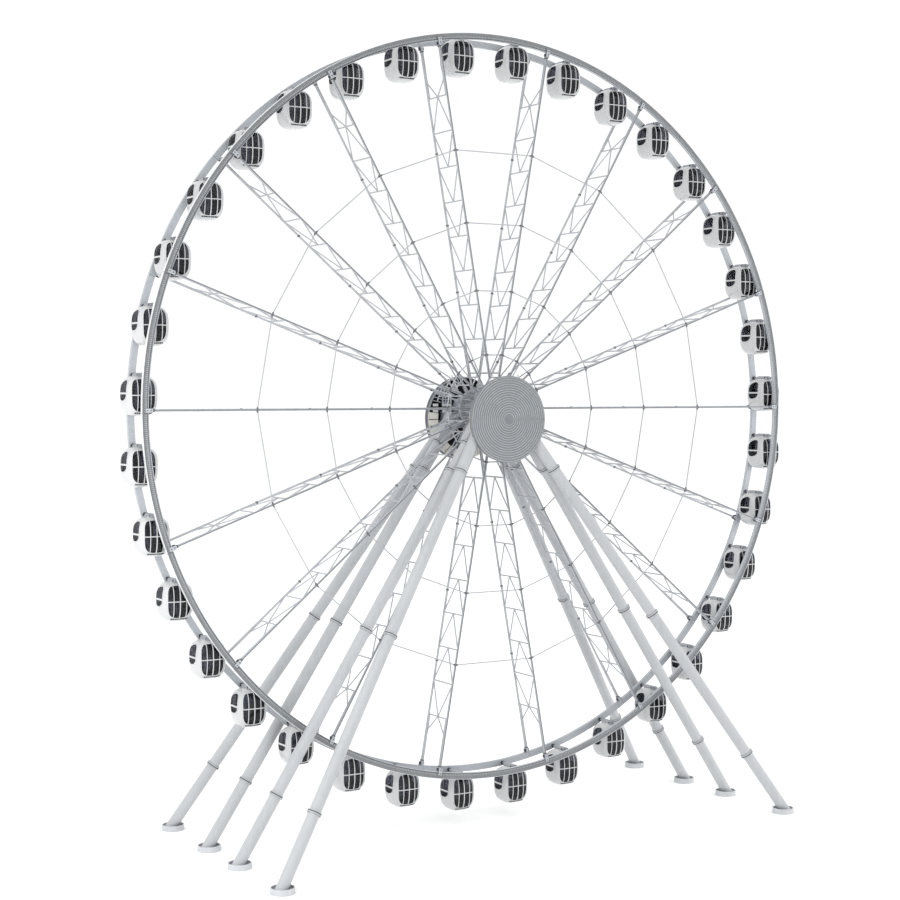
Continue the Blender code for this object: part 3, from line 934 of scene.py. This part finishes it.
def end_fitting(shape, side, inward):
    """Add the socket, the dark clamps and the bolted bracket where a chord meets its rim."""
    outer = side * (RIM_Y + RIM_HALF)
    shape.finish = "rim"
    shape.box((0.14, 0.125, 0.082), (RIM_INNER - 0.078, inward, 0), 0.006)
    shape.box((0.205, 0.016, 0.115), (RIM_INNER - 0.008, outer + side * 0.009, 0))
    shape.box((0.10, 0.03, 0.09), (RIM_INNER - 0.056, outer - side * 0.010, 0))
    shape.finish = "steel"
    shape.box((0.024, 0.132, 0.088), (RIM_INNER - 0.165, inward, 0))
    for z in (-0.062, 0.062):
        shape.box((0.09, 0.07, 0.03), (RIM_INNER - 0.075, inward, z), 0.005)
    for radius in (RIM_INNER - 0.06, RIM_INNER + 0.045):
        shape.bolts((radius, outer + side * 0.017, 0), (0, side, 0), 0.0, 1, 0.017, 0.014)


class WHEEL_OT_spokes(bpy.types.Operator):
    """Make the eighteen lattice spokes."""

    bl_idname = "wheel.spokes"
    bl_label = "Spokes"

    def execute(self, context):
        mesh = truss_mesh(context.scene.wheel_sizes, finishes(context))
        for index in range(SPOKE_COUNT):
            place = at(0, 0, AXLE) @ spun(-BAY * index, "Y")
            name = f"spoke_{index + 1:02d}"
            piece(name + "_truss", mesh, "wheel", place, (name,))
        return {"FINISHED"}


def tie_mesh(name, radius, sizes, kit):
    """Make one ring of straight rods between the front chords, with a collar at each end."""
    shape = Shape(kit, "spoke")
    gap = sizes.chord_width / 2 + 0.010
    corners = [Vector((radius * cos(BAY * step), -RIM_Y, radius * sin(BAY * step)))
               for step in range(SPOKE_COUNT + 1)]
    for start, end in zip(corners, corners[1:]):
        along = (end - start).normalized()
        shape.finish = "spoke"
        shape.tube(start + along * gap, end - along * gap, sizes.tie_radius, 8)
        shape.finish = "clamp"
        for corner, way in ((start, along), (end, -along)):
            shape.tube(corner + way * gap, corner + way * (gap + 0.045), sizes.tie_radius + 0.008, 10)
    return shape.mesh(name)


class WHEEL_OT_ties(bpy.types.Operator):
    """Make the rings of rods that join the spokes."""

    bl_idname = "wheel.ties"
    bl_label = "Tie rings"

    def execute(self, context):
        kit = finishes(context)
        for index, radius in enumerate(TIE_RADII):
            name = f"tie_ring_{index + 1}"
            mesh = tie_mesh(name, radius, context.scene.wheel_sizes, kit)
            piece(name, mesh, "wheel", at(0, 0, AXLE))
        return {"FINISHED"}


def rim_segment_mesh(sizes, kit, edge):
    """Make one curved length of rim: a channel with thin lips, and lamps on its sunk tray."""
    shape = Shape(kit, "rim")
    joint = 0.007 / RIM_OUTER
    bevel = 0.003
    lip = 0.009
    inset = 0.006
    sunk = RIM_HALF - 0.050
    tray = RIM_HALF - 0.042
    near, far = RIM_OUTER - 0.060, RIM_OUTER - 0.165
    outline = [
        (RIM_OUTER, RIM_HALF, edge), (RIM_OUTER - lip, RIM_HALF), (RIM_OUTER - lip, sunk, "band"),
        (near, sunk, "lamp_band"), (near, tray, "lamp_band"), (far, tray, "lamp_band"),
        (far, sunk, "lamp_band"), (RIM_INNER + lip, sunk), (RIM_INNER + lip, RIM_HALF),
        (RIM_INNER, RIM_HALF), (RIM_INNER, bevel - RIM_HALF), (RIM_INNER + bevel, -RIM_HALF),
        (RIM_OUTER - bevel, -RIM_HALF, edge), (RIM_OUTER, bevel - RIM_HALF, edge),
    ]
    shape.turned(outline, 20, HERE, joint, BAY - 2 * joint)
    shape.finish = "band"
    sleeve = oblong(RIM_OUTER - inset, RIM_INNER + inset, sunk - inset, inset - RIM_HALF)
    shape.turned(sleeve, 2, HERE, -0.004, 0.008)
    shape.finish = "lamp"
    count = int(RIM_OUTER * BAY / sizes.lamp_pitch)
    for index in range(count):
        angle = (index + 1) * BAY / (count + 1)
        turn = spun(angle, "Z")
        shape.box((0.052, 0.027, 0.012), turn @ at(RIM_OUTER - 0.130, 0, tray + 0.004), 0.003)
        lamp(shape, RIM_OUTER - 0.080, angle, tray)
    return shape.mesh("rim_segment")


def lamp(shape, radius, angle, height):
    """Add one small six-sided lamp cap."""
    centre = polar(radius, angle, height)
    foot = [shape.bm.verts.new(centre + polar(0.012, step * pi / 3, -0.001)) for step in range(6)]
    shape.fan(foot, centre + Vector((0, 0, 0.008)))
    shape.paint([shape.bm.faces.new(foot)])


class WHEEL_OT_rims(bpy.types.Operator):
    """Make the two rims from bolted lengths with lamp bands."""

    bl_idname = "wheel.rims"
    bl_label = "Rims"

    def execute(self, context):
        kit = finishes(context)
        offset = 0.0075
        for side, way, edge in (("front", -1, "rim_edge"), ("rear", 1, "rim")):
            mesh = rim_segment_mesh(context.scene.wheel_sizes, kit, edge)
            stand = at(0, way * RIM_Y, AXLE) @ spun(-way * pi / 2, "X")
            for index in range(SPOKE_COUNT):
                start = BAY * index + offset
                place = stand @ spun(start if way < 0 else -start - BAY, "Z")
                piece(f"{side}_rim_{index + 1:02d}", mesh, "wheel", place, (side + "_rim",))
        return {"FINISHED"}


def pod_share(z):
    """Give the share of its full width that a cabin has at a height below the pivot."""
    if z > POD_WAIST:
        t = min(1.0, (z - POD_WAIST) / (POD_TOP - POD_WAIST))
        return max(0.0, 1 - t ** POD_CURVE) ** (1 / POD_CROWN_CURVE)
    t = min(1.0, (POD_WAIST - z) / (POD_WAIST - POD_BOTTOM))
    return max(0.0, 1 - t ** POD_LOW_CURVE) ** (1 / POD_LOW_CURVE)


def pod_reach(across, z, half_across, half_out):
    """Give how far a cabin's skin reaches out, at a place across it and a height."""
    inside = pod_share(z) ** POD_PLAN_CURVE - (abs(across) / half_across) ** POD_PLAN_CURVE
    return half_out * max(0.0, inside) ** (1 / POD_PLAN_CURVE)


def on_front(x, z, way):
    """Give the point of a cabin's front or rear skin above a place on the XZ plane."""
    return Vector((x, way * pod_reach(x, z, POD_HALF_WIDTH, POD_HALF_DEPTH), z))


def on_side(y, z, way):
    """Give the point of a cabin's left or right skin above a place on the YZ plane."""
    return Vector((way * pod_reach(y, z, POD_HALF_DEPTH, POD_HALF_WIDTH), y, z))


def pod_heights():
    """Give levels from a cabin's top to its bottom, closer together where its skin turns."""
    heights = []
    for step in range(1, POD_LEVELS):
        angle = pi * step / POD_LEVELS
        above = angle < pi / 2
        reach = POD_TOP - POD_WAIST if above else POD_BOTTOM - POD_WAIST
        heights.append(POD_WAIST + reach * abs(cos(angle)) ** (2 / (POD_CURVE if above else POD_LOW_CURVE)))
    return heights


def pod_skin(grow):
    """Make a cabin's closed skin, set in or out by an amount."""
    shape = Shape()
    power = POD_PLAN_CURVE
    rows = []
    for z in pod_heights():
        share = pod_share(z)
        wide, deep = POD_HALF_WIDTH * share + grow, POD_HALF_DEPTH * share + grow
        row = []
        for step in range(POD_STEPS):
            angle = 2 * pi * (step + 0.5) / POD_STEPS
            c, s = cos(angle), sin(angle)
            reach = (abs(c / wide) ** power + abs(s / deep) ** power) ** (-1 / power)
            row.append((reach * c, reach * s, z + grow * (z - POD_WAIST) / abs(POD_WAIST)))
        rows.append(row)
    rows = shape.lofted(rows, capped=False)
    shape.fan(rows[0], (0, 0, POD_TOP + grow))
    shape.fan(rows[-1], (0, 0, POD_BOTTOM - grow))
    return shape.plain_mesh("pod_skin")


# Outlines of the windows, clockwise, before their corners are rounded. The first value runs along X or Y.
FRONT_WINDOW = (
    (-0.23, -0.12), (0.19, -0.12), (0.275, -0.19), (0.315, -0.31), (0.32, -0.50), (0.315, -0.82),
    (0.265, -0.95), (0.15, -1.04), (-0.19, -1.04), (-0.30, -0.95), (-0.35, -0.82), (-0.355, -0.50),
    (-0.35, -0.31), (-0.31, -0.19),
)
SIDE_WINDOW = (
    (-0.24, -0.28), (-0.19, -0.175), (-0.06, -0.145), (0.05, -0.17), (0.14, -0.205), (0.205, -0.265),
    (0.24, -0.36), (0.245, -0.50), (0.24, -0.64), (0.19, -0.71), (0.05, -0.725), (-0.08, -0.71),
    (-0.17, -0.665), (-0.24, -0.60),
)


def window_outline(corners, grow):
    """Give a window's closed outline with rounded corners, set out by an amount."""
    points = [Vector(corner) for corner in corners]
    for _ in range(3):
        points = [one.lerp(two, share) for one, two in ringed(points) for share in (0.25, 0.75)]
    grown = []
    for index, point in enumerate(points):
        along = points[(index + 1) % len(points)] - points[index - 1]
        grown.append(point + Vector((-along.y, along.x)).normalized() * grow)
    return grown


def window_span(corners, level):
    """Give where a window's two edges lie at a height."""
    sides = []
    for one, two in ringed(window_outline(corners, 0.0)):
        if (one.y >= level) != (two.y >= level):
            sides.append(one.lerp(two, (one.y - level) / (one.y - two.y)).x)
    return min(sides), max(sides)


def window_height(corners, across):
    """Give a window's lowest and highest points at a place across it."""
    high, low = window_span([(-up, place) for place, up in corners], across)
    return -low, -high


def window_prism(corners, grow, turn):
    """Make a prism through a cabin with a window's outline."""
    reach = 0.7
    bm = bmesh.new()
    near = [bm.verts.new((point.x, -reach, point.y)) for point in window_outline(corners, grow)]
    made = bmesh.ops.extrude_face_region(bm, geom=[bm.faces.new(near)])
    far = [part for part in made["geom"] if isinstance(part, bmesh.types.BMVert)]
    bmesh.ops.translate(bm, verts=far, vec=(0, 2 * reach, 0))
    bmesh.ops.rotate(bm, verts=bm.verts[:], cent=(0, 0, 0), matrix=Matrix.Rotation(turn, 3, "Z"))
    bmesh.ops.recalc_face_normals(bm, faces=bm.faces[:])
    return written(bm, "window_prism")


def window_prisms(grow):
    """Give the cutters of the front and side windows."""
    return [window_prism(FRONT_WINDOW, grow, 0.0), window_prism(SIDE_WINDOW, grow, pi / 2)]


def shell_mesh(sizes, kit):
    """Make a cabin's shell: the hollow skin with four windows and raised frames around them."""
    parts = [carve(thickened(pod_skin(0.0), sizes.shell_wall), window_prisms(0.0))]
    for cutter, hole in zip(window_prisms(0.024), window_prisms(0.0)):
        ring = carve(thickened(pod_skin(0.007), 0.014), [cutter], "INTERSECT")
        parts.append(carve(ring, [hole]))
    return dressed(joined(parts), [kit["shell"]])


def glass_mesh(kit):
    """Make the curved panes of a cabin's windows, with the side ones in a finish of their own."""
    panes = []
    for index, cutter in enumerate(window_prisms(0.004)):
        pane = carve(thickened(pod_skin(-0.006), 0.008), [cutter], "INTERSECT")
        for face in pane.polygons:
            face.material_index = index
        panes.append(pane)
    return dressed(joined(panes), [kit["glass"], kit["side_glass"]])


def outward_at(point):
    """Give the direction straight out of a cabin's skin at a point near it."""
    step = 0.004
    power = POD_PLAN_CURVE
    slope = (pod_share(point.z + step) ** power - pod_share(point.z - step) ** power) / (2 * step)
    across = power * point.x ** (power - 1) / POD_HALF_WIDTH ** power
    deep = power * point.y ** (power - 1) / POD_HALF_DEPTH ** power
    return Vector((across, deep, -slope)).normalized()


def skin_bar(shape, points, width, rise, sink=BAR_SINK):
    """Add a bar along points on a cabin's skin."""
    shape.swept(points, [outward_at(point) for point in points], width, rise, sink)


def bars_mesh(sizes, kit):
    """Make the white bars over a cabin's windows and, below them, vents drawn as near-black bars of painted
    shade.
    """
    shape = Shape(kit, "shell")
    front_level, side_level, vent_level = -0.575, -0.52, -1.074
    steps = 16
    for way in (-1, 1):
        for x, widen in ((-0.19, 1.0), (0.0, 1.35), (0.195, 1.0)):
            low, high = window_height(FRONT_WINDOW, x)
            points = [on_front(x * (0.9 + 0.1 * pod_share(z)), z, way) for z in spread(high, low, steps)]
            skin_bar(shape, points, sizes.bar_width * widen, 0.005)
        places = spread(*window_span(FRONT_WINDOW, front_level), steps)
        skin_bar(shape, [on_front(x, front_level, way) for x in places], 0.028, 0.007)
        places = spread(*window_span(SIDE_WINDOW, side_level), steps // 2)
        skin_bar(shape, [on_side(y, side_level, way) for y in places], 0.05, 0.008)
    # Each vent slot is a raised near-black bar: painted shade in place of the slot's depth.
    shape.finish = "vent_shade"
    vents = 9
    row_width = 0.51
    half = 0.022
    for way in (-1, 1):
        for index in range(vents):
            middle = row_width * ((index + 0.5) / vents - 0.5)
            points = [on_front(x, vent_level, way) for x in (middle - half, middle, middle + half)]
            skin_bar(shape, points, 0.040, 0.010, 0.006)
    return shape.mesh("window_bars")


def room_mesh(kit):
    """Make the inside of a cabin: two facing benches with backs, over a floor and under-bench boxes in
    near-black painted shade.
    """
    # The floor is near-black painted shade.
    shape = Shape(kit, "painted_shade")
    shape.box((0.56, 0.52, 0.03), (0, 0, -1.05), 0.01)
    for way in (-1, 1):
        shape.finish = "seat"
        shape.box((0.17, 0.56, 0.07), (way * 0.30, 0, -0.80), 0.018)
        back = at(way * 0.385, 0, -0.66) @ spun(way * 0.10, "Y")
        shape.box((0.05, 0.54, 0.26), back, 0.018)
        # Near-black painted shade under each bench.
        shape.finish = "painted_shade"
        shape.box((0.10, 0.50, 0.18), (way * 0.27, 0, -0.93), 0.01)
    return shape.mesh("cabin_room")


def housing_mesh(kit):
    """Make the bearing housing on a cabin's roof with the axle that carries the cabin."""
    shape = Shape(kit, "housing")
    foot, low, high = 0.115, -0.055, -0.01
    arch = [(-foot, low), (foot, low), (foot, high)]
    arch += [(0.11 * cos(pi * step / 12), 0.062 * sin(pi * step / 12)) for step in range(1, 12)]
    arch += [(-foot, high)]
    shape.lofted([[(x, y, z) for x, z in arch] for y in (-0.24, 0.24)])
    shape.tube((0, -0.513, 0), (0, 0.513, 0), 0.034, 20)
    for way in (-1, 1):
        shape.box((0.25, 0.07, 0.07), (0, way * 0.20, -0.085), 0.008)
    # The first dark box, under the arch between its two feet, is painted shade for the gap between the
    # housing and the roof.
    shape.finish = "steel"
    shape.box((0.215, 0.44, 0.05), (0, 0, -0.080))
    shape.box((0.236, 0.05, 0.062), (0, -0.17, 0.006), 0.006)
    for way in (-1, 1):
        shape.tube((0, way * 0.455, 0), (0, way * 0.512, 0), 0.055, 24)
    return shape.mesh("bearing_housing")


class WHEEL_OT_cabins(bpy.types.Operator):
    """Make the cabins: shell, glass, bars, benches and the housing each hangs from."""

    bl_idname = "wheel.cabins"
    bl_label = "Cabins"

    def execute(self, context):
        kit = finishes(context)
        sizes = context.scene.wheel_sizes
        parts = {
            "shell": shell_mesh(sizes, kit),
            "glass": glass_mesh(kit),
            "bars": bars_mesh(sizes, kit),
            "room": room_mesh(kit),
            "housing": housing_mesh(kit),
        }
        for body, pivot in PIVOTS.items():
            node = body.removesuffix("_body")
            for part, mesh in parts.items():
                replaced = (node,) if part == "shell" else ()
                piece(f"{node}_{part}", mesh, body, Matrix.Translation(pivot), replaced)
        return {"FINISHED"}


def floor_finish():
    """Make the pale floor's finish, nearly even."""
    material, tree, shader = new_finish("pale_floor_finish")
    clouds = noise(tree, own_place(tree), 0.2)
    feed(tree, shader, {
        "Base Color": ramp(tree, clouds, (0.0, (0.94, 0.94, 0.94, 1)), (1.0, (0.97, 0.97, 0.97, 1))),
        "Roughness": 0.9, "Specular IOR Level": 0.1,
        "Emission Color": (1.0, 1.0, 1.0, 1.0), "Emission Strength": FLOOR_GLOW,
    })
    return material


def light(name, kind, back, power, **settings):
    """Add a light with its back to a direction."""
    data = bpy.data.lights.new(name, kind)
    data.energy = power
    for setting, value in settings.items():
        setattr(data, setting, value)
    item = linked(name, data)
    item.rotation_euler = Vector(back).to_track_quat("Z", "Y").to_euler()
    return item


class WHEEL_OT_stage(bpy.types.Operator):
    """Make the pale floor, the soft light and the camera."""

    bl_idname = "wheel.stage"
    bl_label = "Stage and camera"

    def execute(self, context):
        scene = context.scene
        scene.view_settings.view_transform = "Standard"
        bm = bmesh.new()
        bmesh.ops.create_circle(bm, cap_ends=True, radius=FLOOR_RADIUS, segments=96)
        floor = linked("floor", written(bm, "floor"))
        floor.data.materials.append(floor_finish())
        world = bpy.data.worlds.new("soft_studio")
        world.use_nodes = True
        white = {"Color": (1.0, 1.0, 1.0, 1.0), "Strength": WORLD_STRENGTH}
        feed(world.node_tree, world.node_tree.nodes["Background"], white)
        scene.world = world
        light("top_light", "SUN", (-0.25, -0.2, 1.0), TOP_LIGHT_POWER, angle=radians(60))
        for name, place, target, power in BOX_LIGHTS:
            item = light(name, "AREA", Vector(place) - Vector(target), power, size=BOX_LIGHT_SIZE)
            item.location = place
            item.visible_camera = False
            item.visible_glossy = False
        view = bpy.data.cameras.new("camera")
        view.sensor_width = SENSOR
        view.lens = VIEW_LENS
        view.clip_end = VIEW_LIMIT
        camera = linked("camera", view)
        azimuth, elevation = radians(VIEW_AZIMUTH), radians(VIEW_ELEVATION)
        back = Vector((sin(azimuth) * cos(elevation), -cos(azimuth) * cos(elevation), sin(elevation)))
        camera.location = Vector(VIEW_TARGET) + back * VIEW_DISTANCE
        camera.rotation_euler = back.to_track_quat("Z", "Y").to_euler()
        scene.camera = camera
        return {"FINISHED"}


class WHEEL_PT_panel(bpy.types.Panel):
    """Lists the parts, sizes and colours of the wheel."""

    bl_label = "Fairground wheel"
    bl_idname = "WHEEL_PT_panel"
    bl_space_type = "VIEW_3D"
    bl_region_type = "UI"
    bl_category = "Wheel"

    def draw(self, context):
        column = self.layout.column(align=True)
        for operator in OPERATORS:
            column.operator(operator.bl_idname)
        for group in (context.scene.wheel_sizes, context.scene.wheel_colours):
            for name in group.__annotations__:
                self.layout.prop(group, name)


OPERATORS = (
    WHEEL_OT_stage,
    WHEEL_OT_legs,
    WHEEL_OT_heads,
    WHEEL_OT_discs,
    WHEEL_OT_hub,
    WHEEL_OT_rims,
    WHEEL_OT_spokes,
    WHEEL_OT_ties,
    WHEEL_OT_cabins,
)
CLASSES = (WheelSizes, WheelColours, *OPERATORS, WHEEL_PT_panel)


def register():
    """Register the classes and the settings they use."""
    for kind in CLASSES:
        bpy.utils.register_class(kind)
    bpy.types.Scene.wheel_sizes = bpy.props.PointerProperty(type=WheelSizes)
    bpy.types.Scene.wheel_colours = bpy.props.PointerProperty(type=WheelColours)


def unregister():
    """Remove the settings and the classes."""
    del bpy.types.Scene.wheel_colours
    del bpy.types.Scene.wheel_sizes
    for kind in reversed(CLASSES):
        bpy.utils.unregister_class(kind)


def main():
    """Register the classes and make every piece."""
    register()
    bpy.ops.wheel.stage()
    bpy.ops.wheel.legs()
    bpy.ops.wheel.heads()
    bpy.ops.wheel.discs()
    bpy.ops.wheel.hub()
    bpy.ops.wheel.rims()
    bpy.ops.wheel.spokes()
    bpy.ops.wheel.ties()
    bpy.ops.wheel.cabins()


if __name__ == "__main__":
    main()
